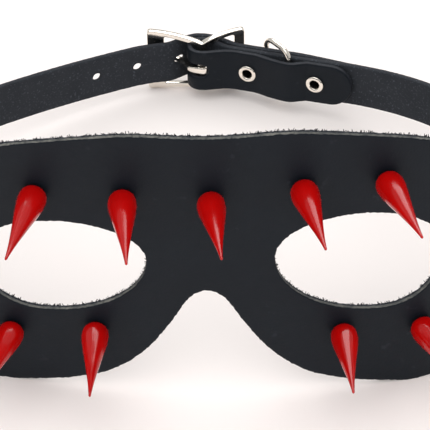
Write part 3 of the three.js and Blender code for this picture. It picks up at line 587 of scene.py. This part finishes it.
def mottled(name, tones, patch, roughness, relief, strength, depth, values):
    """A material in patches of two close tones, with a fine relief.

    patch and relief are a noise's scale and detail, roughness is one value or its range over the
    patches, depth is the relief's in millimetres, and values go on the shader's other sockets.
    """
    material, tree, surface = new_material(name)
    place = add_node(tree, "ShaderNodeTexCoord").outputs["Object"]
    patches, unevenness = (
        add_node(tree, "ShaderNodeTexNoise", {"Vector": place, "Scale": scale, "Detail": detail})
        for scale, detail in (patch, relief))
    colour = add_node(tree, "ShaderNodeMix", {
        0: patches, 6: linear(tones[0]), 7: linear(tones[1])}, data_type="RGBA")
    if isinstance(roughness, tuple):
        roughness = add_node(tree, "ShaderNodeMapRange", {
            "Value": patches, "To Min": roughness[0], "To Max": roughness[1]})
    bump = add_node(tree, "ShaderNodeBump", {
        "Height": unevenness, "Strength": strength, "Distance": depth * mm})
    set_inputs(tree, surface, {
        "Base Color": colour, "Roughness": roughness, "Normal": bump, **values})
    return material


def arc(out, along, width, rise, start, end, count):
    """Points (out, along) on an arc of an ellipse round a middle, between two angles in degrees."""
    return [
        (out + width * math.cos(a), along + rise * math.sin(a))
        for a in np.radians(np.linspace(start, end, count))]


# Red enamel, sprayed and stoved over zinc alloy: deep and glossy with a clear top film, a faint
# orange peel about 1.5 mm across, and a slightly darker coat where it ran thin
red_enamel = mottled(
    "red_enamel_sprayed", ("#990302", "#b30504"), patch=(220.0, 3.0), roughness=(0.14, 0.2),
    relief=(650.0, 2.0), strength=0.12, depth=0.06,
    values={"IOR": 1.5, "Specular IOR Level": 0.3, "Coat Weight": 0.2, "Coat Roughness": 0.1})

foot_radius, foot_bevel, foot_step = spike_form[0][1] * spike_radius, 0.15, 0.12
swell_end, tip_start = 0.12, spike_form[-1][0]
tip_radius, tip_length = spike_form[-1][1] * spike_radius, spike_length * (1 - tip_start)
steps = np.concatenate([np.linspace(0, swell_end, 10), np.linspace(swell_end, tip_start, 46)[1:]])
spike_profile = [(0, 0), (foot_radius - foot_bevel, 0)]
spike_profile += [
    (smooth_through(spike_form, t) * spike_radius, max(t * spike_length, foot_step)) for t in steps]
spike_profile += arc(0, tip_start * spike_length, tip_radius, tip_length, 0, 90, 7)[1:-1]
spike_profile += [(0, spike_length)]

spike_places, spike_axes, screw_places = [], [], []
screw_head_radius = 3.4
for name, along, up, turn, lift in spike_rows:
    axis, tilt = spike_axis(along, up, turn, lift)
    middle = on_mask(along * mask_half, 0, up * mask_height)
    seat = mask_thickness / 2 + gap + tilt * foot_radius
    spike_places.append(middle + axis * seat)
    spike_axes.append(axis)
    screw_places.append(middle - axis * (mask_thickness / 2 + gap + tilt * screw_head_radius))
spikes = turned_pieces("red_cone_spikes", spike_places, spike_axes, spike_profile, 56, red_enamel)
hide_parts(*["spike_" + row[0] for row in spike_rows])

# Screws
# One low domed screw behind each spike, cold headed in steel and zinc plated, turned in through the
# leather from the flesh side.

# Zinc plated steel, cold headed: cool grey metal, satin, with faint turned scratches
plated_steel = mottled(
    "zinc_plated_steel_cold_headed", ("#85888c", "#a9abae"), patch=(500.0, 4.0),
    roughness=(0.28, 0.45), relief=(500.0, 4.0), strength=0.15, depth=0.05,
    values={"Metallic": 1.0})

head_height, head_rim, head_edge, head_bevel, screw_reach = 0.9, 0.25, 0.1, 0.12, 5.0
screw_top = mask_thickness + 2 * gap + screw_reach
screw_profile = arc(0, -head_rim, screw_head_radius, head_rim - head_height, 90, 0, 12)
screw_profile += [
    (screw_head_radius, -head_edge), (screw_head_radius - head_bevel, 0), (screw_radius, 0),
    (screw_radius, screw_top), (0, screw_top)]
screws = turned_pieces("spike_screws", screw_places, spike_axes, screw_profile, 40, plated_steel)
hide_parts(*["screw_" + row[0] for row in spike_rows])

# Holed strap
# A 15 mm strip of the same hide, riveted inside the left tab, with punched holes and a free end
# that runs on outside the other strap. Its edges are dyed and rubbed smooth.

strap_width, strap_thickness, end_margin, tail_length = 15.2, 1.8, 9.0, 100.0
settle, outer_settle = 10.0, 13.0
climb_from, climb_to = -13.2, -1.5
tail_fall, fall_from, fall_to = 1.4, 32.0, 56.0
hole_radius, first_hole, hole_pitch, tongue_stretch = 1.5, -8.4, 15.2, 0.5
holes_before, holes_after = 2, 3
into_bend, bar_height = 9.0, 12.0
bar_width, bar_plate, fold_ease = 2.4, 2.0, 1.4

inside = -(mask_thickness / 2 + gap + strap_thickness / 2)
fold_middle = math.hypot(bar_width, bar_plate) / 2 + gap + fold_ease + strap_thickness / 2
layer = strap_thickness + gap
bar_depth = inside - layer / 2
fold_rise = fold_middle - layer / 2
bar_run = right_arcs[4, 0] + into_bend
left_run, right_run = loop_length - bar_run - temple_at, bar_run - temple_at
burnished_rim = [
    (0.55, 1), (0.3, 0.95), (0.12, 0.82), (0.02, 0.6), (0, 0.3), (0, 0), (0, -0.3),
    (0.02, -0.6), (0.1, -0.82), (0.26, -0.95), (0.5, -1),
]


def loop_from_bar(u):
    """The place on the loop at a length u to the right of the buckle's bar."""
    return bar_run - u


def strap_middle(u):
    full = np.where(u < 0, left_run, right_run)
    return bar_height + (tab_rise - bar_height) * (u / full) ** 2


def bar_bulge(u, settled=settle):
    return fold_rise * (1 - smooth_step(u, 0, settled))


def holed_depth(u):
    climbed = smooth_step(u, climb_from, climb_to)
    return inside + layer * climbed + np.where(u < 0, fold_rise * climbed, bar_bulge(u, outer_settle))


def holed_middle(u):
    return strap_middle(u) - tail_fall * smooth_step(u, fall_from, fall_to)


def strap_path(points, middles):
    """The strap's middle line: run along it, points, grain side normals and heights."""
    step = np.linalg.norm(np.diff(points, axis=0), axis=1)
    run = np.concatenate([[0], np.cumsum(step)])
    heading = np.gradient(points, run, axis=0)
    normal = np.stack([heading[:, 1], -heading[:, 0]], 1)
    return run, points, normal / np.linalg.norm(normal, axis=1)[:, None], middles


def bent_along(path, corners):
    run, points, normals, middles = path
    at = corners[:, 0]
    x, y, nx, ny, z = (
        np.interp(at, run, row) for row in (*points.T, *normals.T, middles))
    return np.stack([x + nx * corners[:, 2], y + ny * corners[:, 2], z + corners[:, 1]], 1)


def rounded_strip(start, end, half, count):
    """The outline of a flat strip or slot with round ends, half as wide as asked on each side."""
    turn = np.linspace(-np.pi / 2, np.pi / 2, count)
    cap = np.stack([half * np.cos(turn), half * np.sin(turn)], 1)
    return np.vstack([cap + (end - half, 0), -cap + (start + half, 0)])


def run_at(u):
    """The run along the holed strap's flat length at a length u from the bar."""
    return float(np.interp(-u, -holed_u, holed_path[0]))


holed_u = np.linspace(tail_length, -(left_run + end_margin), 3200)
holed_path = strap_path(
    on_loop(loop_from_bar(holed_u), holed_depth(holed_u), 0)[:, :2], holed_middle(holed_u))
punched = [
    round_hole(run_at(first_hole + k * hole_pitch), 0, hole_radius, tongue_stretch if k == 0 else 0)
    for k in range(-holes_before, holes_after + 1)
]
punched.append(round_hole(run_at(-left_run), 0, rivet_radius + hole_ease))

# Dyed and burnished strap edge: waxed and rubbed, so nearly black with a cool cast and half matt,
# but painted a shade paler than the grain face all round as a painted highlight along the rounded rim
burnished_edge_painted_highlight = mottled(
    "leather_edge_dyed_burnished_painted_highlight", ("#1a1b20", "#33353d"), patch=(600.0, 4.0), roughness=0.55,
    relief=(600.0, 4.0), strength=0.5, depth=0.1, values={"Specular IOR Level": 0.15})


def leather_strap(name, path, holes, spacing, fray):
    """A strap with round ends and rubbed edges, cut from the flat and bent along a path."""
    flat_corners, faces, strips = cut_sheet(
        rounded_strip(0, path[0][-1], strap_width / 2, 61), holes, strap_thickness,
        edge_step=0.45, spacing=spacing, rim=burnished_rim, fray=fray, fray_size=0.9)
    return new_piece(
        name, bent_along(path, flat_corners), faces,
        [grain_leather, burnished_edge_painted_highlight, flesh_leather], by_side(strips))


holed_strap = leather_strap("leather_holed_strap", holed_path, punched, 0.95, 0.07)
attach(holed_strap, "root")
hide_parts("holed_strap")

# Buckle strap
# The shorter strip from the right tab, slotted, folded round the buckle's bar and held back on
# itself by two eyelets. The flap shows its grain side to the head.

flap_length, keeper_wire = 54.0, 1.8
tongue_thickness, tongue_width, tongue_loop_width = 1.3, 1.9, 3.6
flap_form = [
    (0, 0), (0.36, 0), (0.5, 0.8), (0.555, 1), (0.61, 1), (0.66, 0.45), (0.7, 0), (1, 0)]
flap_depth = inside - layer

bar_point, bar_normal = plan(loop_from_bar(0.0))
bar_centre = bar_point + bar_normal * bar_depth


def at_bar(outward, x, y, z=bar_height):
    """Points from the bar's middle: x along the strap, y out of the head, z up from the floor."""
    x, y = np.asarray(x, float), np.asarray(y, float)
    along = np.array([outward[1], -outward[0]])
    flat = bar_centre + x[..., None] * along + y[..., None] * outward
    return np.concatenate([flat, np.broadcast_to(z, x.shape)[..., None]], -1)


right_end = right_run + end_margin
main_u = np.linspace(right_end, 0, 2000)[:-1]
fold_turn = np.linspace(np.pi / 2, 3 * np.pi / 2, 80)
flap_u = np.linspace(0, flap_length, 700)[1:]
riding = np.maximum(smooth_through(flap_form, flap_u / flap_length), 0) * (keeper_wire + gap)
buckle_points = np.vstack([
    on_loop(loop_from_bar(main_u), inside + bar_bulge(main_u), 0)[:, :2],
    at_bar(bar_normal, fold_middle * np.cos(fold_turn), fold_middle * np.sin(fold_turn))[:, :2],
    on_loop(
        loop_from_bar(flap_u), flap_depth - bar_bulge(flap_u, outer_settle) - riding, 0)[:, :2],
])
buckle_u = np.concatenate([main_u, np.zeros(len(fold_turn)), flap_u])
buckle_path = strap_path(buckle_points, strap_middle(buckle_u))
buckle_run = buckle_path[0]


def main_run(at):
    return float(np.interp(-at, -main_u, buckle_run[:len(main_u)]))


def flap_run(at):
    return float(np.interp(at, flap_u, buckle_run[-len(flap_u):]))


eyelet_places = [17.2, 41.0]
eyelet_outer, eyelet_barrel, eyelet_bore, eyelet_ease = 3.1, 2.1, 1.6, 0.1
slot_half = tongue_loop_width / 2 + 3 * gap
slot_end = math.hypot(bar_width, bar_plate) / 2 + gap + tongue_thickness
slot_from, slot_to = main_run(slot_end), flap_run(slot_end)
cuts = [
    rounded_strip(slot_from, slot_to, slot_half, 25),
    round_hole(main_run(right_run), 0, rivet_radius + hole_ease)]
cuts += [round_hole(main_run(at), 0, eyelet_outer + eyelet_ease) for at in eyelet_places]
cuts += [round_hole(flap_run(at), 0, eyelet_barrel + eyelet_ease) for at in eyelet_places]
buckle_strap = leather_strap("leather_buckle_strap", buckle_path, cuts, 0.9, 0.05)
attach(buckle_strap, "root")
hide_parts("buckle_strap")

# Buckle frame
# A centre bar frame, die cast in zinc alloy in one bow, tumbled and nickel plated. It sits a little
# turned in the strap's fold, with the bent ends standing out from the head.

buckle_turn, buckle_drop, end_half, bar_half, waist = math.radians(10.6), 0.2, 11.8, 8.4, 0.6
tongue_reach, tongue_rise, tongue_end = 18.2, 4.5, 5.8
tail_reach, tail_rise, tail_end = 14.5, 3.5, 3.5
rail, frame_rounding, window_rounding = 1.6, 1.5, 0.9
turned_normal = np.array([
    math.cos(buckle_turn) * bar_normal[0] - math.sin(buckle_turn) * bar_normal[1],
    math.sin(buckle_turn) * bar_normal[0] + math.cos(buckle_turn) * bar_normal[1]])
buckle_middle = bar_height - buckle_drop


def frame_depth(x):
    reach, rise = np.where(x < 0, tongue_reach, tail_reach), np.where(x < 0, tongue_rise, tail_rise)
    return rise * np.sin(np.minimum(np.abs(x) / reach, 1) * np.pi / 2)


def frame_half(x):
    share = np.abs(x) / np.where(x < 0, tongue_reach, tail_reach)
    return bar_half + (end_half - bar_half) * share**waist


def framed(low, high, inset, rounding):
    """A closed outline between two places on the frame, its four corners rounded to arcs."""
    near = 2 * rounding
    x = np.concatenate([[low], np.linspace(low + near, high - near, 60), [high]])
    edge = np.stack([np.interp(x, frame_x, frame_path[0]), frame_half(x) - inset], 1)
    points = np.vstack([edge * (1, -1), edge[::-1]])
    result = []
    for i, corner in enumerate(points):
        if 0 < i % len(x) < len(x) - 1:
            result.append(corner)
            continue
        before, after = points[i - 1] - corner, points[(i + 1) % len(points)] - corner
        start = corner + before / np.linalg.norm(before) * rounding
        end = corner + after / np.linalg.norm(after) * rounding
        for t in np.linspace(0, 1, 9):
            result.append((1 - t) ** 2 * start + 2 * t * (1 - t) * corner + t * t * end)
    return np.array(result)


# Bright nickel over zinc alloy, tumbled: warm silver with sharp reflections, faint hairline marks
# and a slightly duller skin where it was handled
nickel = mottled(
    "nickel_plated_zinc_tumbled", ("#ece3d6", "#faf5ec"), patch=(160.0, 3.0),
    roughness=(0.08, 0.18), relief=(900.0, 5.0), strength=0.12, depth=0.04,
    values={"Metallic": 1.0})

frame_x = np.linspace(-tongue_reach, tail_reach, 1200)
crease, reach = 0.3, 60
blur = np.exp(-0.5 * (np.arange(-reach, reach + 1) * (frame_x[1] - frame_x[0]) / crease) ** 2)
padded = np.pad(frame_depth(frame_x), reach, mode="reflect", reflect_type="odd")
frame_y = np.convolve(padded, blur / blur.sum(), mode="valid")
frame_path = strap_path(np.stack([frame_x, frame_y], 1), np.zeros(len(frame_x)))
outline = framed(-tongue_reach, tail_reach, 0, frame_rounding)
windows = [
    framed(-tongue_reach + tongue_end, -bar_width / 2, rail, window_rounding),
    framed(bar_width / 2, tail_reach - tail_end, rail, window_rounding),
]
cast_edge = 0.3
cast_rim = [
    (cast_edge * (1 - math.sin(a)), 1 - cast_edge * (1 - math.cos(a)))
    for a in np.linspace(0, math.pi / 2, 7)]
cast_rim += [(inset, -share) for inset, share in reversed(cast_rim)]
flat_corners, faces, strips = cut_sheet(
    outline, windows, bar_plate, edge_step=0.25, spacing=0.6, rim=cast_rim)
local = bent_along(frame_path, flat_corners)
buckle_frame = new_piece(
    "nickel_buckle_frame",
    at_bar(turned_normal, local[:, 0], local[:, 1], buckle_middle + local[:, 2]), faces, [nickel])
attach(buckle_frame, "root")
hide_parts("buckle_frame")

# Buckle tongue
# A flat strip of plated steel, wrapped round the bar, put through the strap's hole and rested on
# the end of the frame.

tree, given, made = new_tree(
    "bar_along_path", Geometry="Geometry", Thickness="Float", Width="Float", Rounding="Float",
    Material="Material")
taper, level, spread = (
    add_node(tree, "GeometryNodeInputNamedAttribute", {"Name": name}, data_type="FLOAT")
    for name in ("taper", "level", "spread"))
line = add_node(tree, "GeometryNodeMeshToCurve", {"Mesh": given["Geometry"]})
upright = add_node(tree, "GeometryNodeSetCurveNormal", {"Curve": line}, mode="Z_UP")
section = add_node(tree, "GeometryNodeCurvePrimitiveQuadrilateral", {
    "Width": given["Width"], "Height": given["Thickness"]})
rounded = add_node(tree, "GeometryNodeFilletCurve", {
    "Curve": section, "Radius": given["Rounding"], "Count": 6, "Limit Radius": True}, mode="POLY")
bar = add_node(tree, "GeometryNodeCurveToMesh", {
    "Curve": upright, "Profile Curve": rounded, "Scale": taper, "Fill Caps": True})
place = add_node(tree, "GeometryNodeInputPosition")
height = add_node(tree, "ShaderNodeSeparateXYZ", {"Vector": place}).outputs["Z"]
off_level = add_node(tree, "ShaderNodeMath", {0: height, 1: level}, operation="SUBTRACT")
rise = add_node(tree, "ShaderNodeMath", {0: off_level, 1: spread}, operation="MULTIPLY")
up_by = add_node(tree, "ShaderNodeCombineXYZ", {"Z": rise})
widened = add_node(tree, "GeometryNodeSetPosition", {"Geometry": bar, "Offset": up_by})
smooth = add_node(tree, "GeometryNodeSetShadeSmooth", {"Geometry": widened})
bar_tree = end_tree(tree, smooth, given, made)


def nickel_bar(name, points, closed, taper, spread, thickness, width, rounding):
    """A bar of rounded section along points (mm), made higher by the share in spread, as one piece."""
    count = len(points)
    path = bpy.data.meshes.new(name + "_path")
    joins = [(i, i + 1) for i in range(count - 1)] + ([(count - 1, 0)] if closed else [])
    path.from_pydata((np.asarray(points) * mm).tolist(), joins, [])
    levels = np.asarray(points)[:, 2] * mm
    for mark, values in (("taper", taper), ("spread", spread), ("level", levels)):
        path.attributes.new(mark, "FLOAT", "POINT").data.foreach_set("value", values)
    piece = grow(name, path, bar_tree, {
        "Thickness": thickness * mm, "Width": width * mm, "Rounding": rounding * mm,
        "Material": nickel})
    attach(piece, "root")
    return piece


def smooth_curve(knots, count):
    """Catmull-Rom curve through knots, centripetal, as count points for each stretch."""
    knots = [np.asarray(k, float) for k in knots]
    ends = [2 * knots[0] - knots[1]] + knots + [2 * knots[-1] - knots[-2]]
    result = []
    for p0, p1, p2, p3 in zip(ends, ends[1:], ends[2:], ends[3:]):
        a, b, c = (np.linalg.norm(q - p) ** 0.5 for p, q in ((p0, p1), (p1, p2), (p2, p3)))
        m1 = (p2 - p1) + b * ((p1 - p0) / a - (p2 - p0) / (a + b))
        m2 = (p2 - p1) + b * ((p3 - p2) / c - (p3 - p1) / (b + c))
        result += [hermite(t, p1, p2, m1, m2) for t in np.linspace(0, 1, count, endpoint=False)]
    return result + [knots[-1]]


# Its path from the inside of the bar to its left, as shares of the fold's middle radius
tongue_form = [(0, -0.88), (-0.96, -0.48), (-1.27, 0.17)]
wrap_radius = math.hypot(bar_width, bar_plate) / 2 + gap + tongue_thickness / 2
hole_point = on_loop(loop_from_bar(first_hole), holed_depth(first_hole), 0)[:2] - bar_centre
hole_at = (hole_point @ (turned_normal[1], -turned_normal[0]), hole_point @ turned_normal)
overhang, rest_share, stretch_points, narrowing = 1.2, 0.7, 14, 23
over_bar = bar_plate / 2 + gap + tongue_thickness * rest_share
wrap_from, wrap_to = 130, -90
wrap = []
for a in np.radians(np.linspace(wrap_from, wrap_to, 56)):
    sag = wrap_radius if a > 0 else -tongue_form[0][1] * fold_middle
    wrap.append((wrap_radius * math.cos(a), sag * math.sin(a)))
edge = tongue_end - tongue_reach
shaft = smooth_curve([
    *[(x * fold_middle, y * fold_middle) for x, y in tongue_form], hole_at,
    *[(x, float(frame_depth(x)) + over_bar)
      for x in (edge, edge - tongue_end / 2, -tongue_reach - overhang)],
], stretch_points)[1:]
tongue_points = np.array(wrap + shaft)
tip_taper = (0.97, 0.9, 0.78, 0.55)
taper = np.ones(len(tongue_points))
taper[-len(tip_taper):] = tip_taper
narrowed = smooth_step(np.arange(len(tongue_points)) - len(wrap), 0, narrowing)
spread = (tongue_loop_width / tongue_width - 1) * (1 - narrowed)
tongue = nickel_bar(
    "nickel_buckle_tongue",
    at_bar(turned_normal, tongue_points[:, 0], tongue_points[:, 1], buckle_middle), False, taper,
    spread, tongue_thickness, tongue_width, rounding=0.35)
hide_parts("buckle_tongue")

# Keeper ring
# A loose loop of 1.8 mm wire, welded shut and nickel plated. One leg lies under the flap and the
# other over the tail, so the ring leans along the strap.

inner_leg, outer_leg, top_corner, low_corner, headroom = 31.4, 21.4, 3.6, 1.5, 2.7
round_share = 0.49
keeper_off = strap_thickness / 2 + gap + keeper_wire / 2
inner_point = on_loop(loop_from_bar(inner_leg), inside - keeper_off, 0)
outer_point = on_loop(loop_from_bar(outer_leg), inside + layer + keeper_off, 0)
across = outer_point - inner_point
ring_width = np.linalg.norm(across)
across /= ring_width
low = float(strap_middle(inner_leg)) - strap_width / 2 - low_corner
high = float(strap_middle(inner_leg)) + strap_width / 2 + headroom
ring_points = []
for across_at, z_at, start, corner in [
    (ring_width - low_corner, low + low_corner, -90, low_corner),
    (ring_width - top_corner, high - top_corner, 0, top_corner),
    (top_corner, high - top_corner, 90, top_corner), (low_corner, low + low_corner, 180, low_corner),
]:
    for a in np.radians(start + np.linspace(0, 90, 13)):
        point = inner_point + across * (across_at + corner * math.cos(a))
        ring_points.append((*point[:2], z_at + corner * math.sin(a)))
keeper = nickel_bar(
    "nickel_keeper_ring", ring_points, True, np.ones(len(ring_points)),
    np.zeros(len(ring_points)), keeper_wire, keeper_wire, keeper_wire * round_share)
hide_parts("keeper_ring")

# Eyelets
# Two tubular brass eyelets, drawn and nickel plated, set through the flap's side and curled over
# behind, so that each rim is pressed on the leather.

rim_height, rim_curl, back_rim, flange = 0.6, 0.9, 0.4, 0.1
front = -(2 * strap_thickness + 2 * gap)
lip_middle, lip_half = (eyelet_outer + eyelet_bore) / 2, (eyelet_outer - eyelet_bore) / 2
lip = arc(lip_middle, front, lip_half, -rim_height * rim_curl, 0, 180, 15)
back_face, front_seat = -gap / 3, front + gap * 0.8
eyelet_profile = [
    (eyelet_barrel, front_seat), (eyelet_outer - flange, front_seat), *lip,
    (eyelet_bore, back_face), (eyelet_outer, back_face),
    (eyelet_outer, back_face - back_rim), (eyelet_barrel, back_face - back_rim),
    (eyelet_barrel, front_seat),
]
eyelet_faces, eyelet_axes = [], []
for at in eyelet_places:
    s = loop_from_bar(at)
    eyelet_faces.append(on_loop(s, inside + strap_thickness / 2, strap_middle(at)))
    eyelet_axes.append((*plan(s)[1], 0))
eyelets = turned_pieces("nickel_eyelets", eyelet_faces, eyelet_axes, eyelet_profile, 48, nickel)
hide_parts("eyelet_near", "eyelet_far")

# Temple rivets
# Two double cap rivets of plated steel that join the straps to the mask's tabs, with a low domed
# cap on each side.

cap_radius, cap_height, cap_rim, cap_bevel = 3.6, 1.0, 0.2, 0.15
outer_face = mask_thickness / 2 + gap
inner_face = inside - strap_thickness / 2 - gap
dome_rise = cap_height - cap_rim
rivet_profile = arc(0, inner_face - cap_rim, cap_radius, -dome_rise, 90, 0, 12)
rivet_profile += [
    (cap_radius - cap_bevel, inner_face), (rivet_radius, inner_face),
    (rivet_radius, outer_face), (cap_radius - cap_bevel, outer_face)]
rivet_profile += arc(0, outer_face + cap_rim, cap_radius, dome_rise, 0, 90, 12)
rivets = turned_pieces(
    "nickel_temple_rivets", [on_loop(side * temple_at, 0, tab_rise) for side in (-1, 1)],
    [(*plan(side * temple_at)[1], 0) for side in (-1, 1)], rivet_profile, 48, nickel)
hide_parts("temple_rivet_left", "temple_rivet_right")

# Studio
# A seamless white table under a large soft light, as for a catalogue picture, with a window behind
# that shows in the metal and the leather's sheen.

floor_half = 3.0
floor_mesh = bpy.data.meshes.new("studio_floor")
floor_mesh.from_pydata(
    [(-floor_half, -floor_half, 0), (floor_half, -floor_half, 0), (floor_half, floor_half, 0),
     (-floor_half, floor_half, 0)], [], [(0, 1, 2, 3)])
floor = new_object("studio_floor", floor_mesh)
white_table, tree, surface = new_material("white_laminate_matt")
set_inputs(tree, surface, {
    "Base Color": linear("#f3ece9"), "Roughness": 0.9, "Specular IOR Level": 0.1})
floor_mesh.materials.append(white_table)

world = bpy.data.worlds.new("studio_air")
world.use_nodes = True
tree = world.node_tree
reflected = add_node(tree, "ShaderNodeLightPath").outputs["Is Glossy Ray"]
strength = add_node(tree, "ShaderNodeMapRange", {"Value": reflected, "To Min": 1.25, "To Max": 0.55})
set_inputs(tree, tree.nodes["Background"], {"Color": linear("#ffffff"), "Strength": strength})
bpy.context.scene.world = world


def soft_light(name, place, target, size, power, lights_matt=True):
    data = bpy.data.lights.new(name, "AREA")
    data.shape = "RECTANGLE"
    data.size, data.size_y = size
    data.energy = power
    lamp = new_object(name, data)
    lamp.location = place
    lamp.rotation_euler = (Vector(target) - Vector(place)).to_track_quat("-Z", "Y").to_euler()
    lamp.visible_diffuse = lights_matt


soft_light("overhead_soft_box", (-0.2, -0.3, 1.0), (0, 0, 0), (0.9, 0.9), 2.5)
soft_light("back_window", (0.12, 0.62, 0.8), (0, 0, 0.05), (0.8, 0.6), 6.0, lights_matt=False)

# Camera, at the photograph's angle: 40 degrees down, almost square to the mask, rolled a little
camera_aim = Vector((base_shift[0] + 1.3, base_shift[1] - 1.2, 64.97)) * mm
camera_distance, camera_lens = 0.45, 147.4
elevation, azimuth, roll = math.radians(40), math.radians(-1.79), -0.0147
toward = Vector((
    math.sin(azimuth) * math.cos(elevation), -math.cos(azimuth) * math.cos(elevation),
    math.sin(elevation)))
camera_data = bpy.data.cameras.new("photo_camera")
camera_data.lens, camera_data.sensor_width = camera_lens, 36.0
camera = new_object("photo_camera", camera_data)
camera.rotation_mode = "QUATERNION"
camera.rotation_quaternion = Quaternion(toward, roll) @ toward.to_track_quat("Z", "Y")
camera.location = camera_aim + toward * camera_distance
bpy.context.scene.camera = camera
bpy.context.scene.view_settings.view_transform = "Standard"
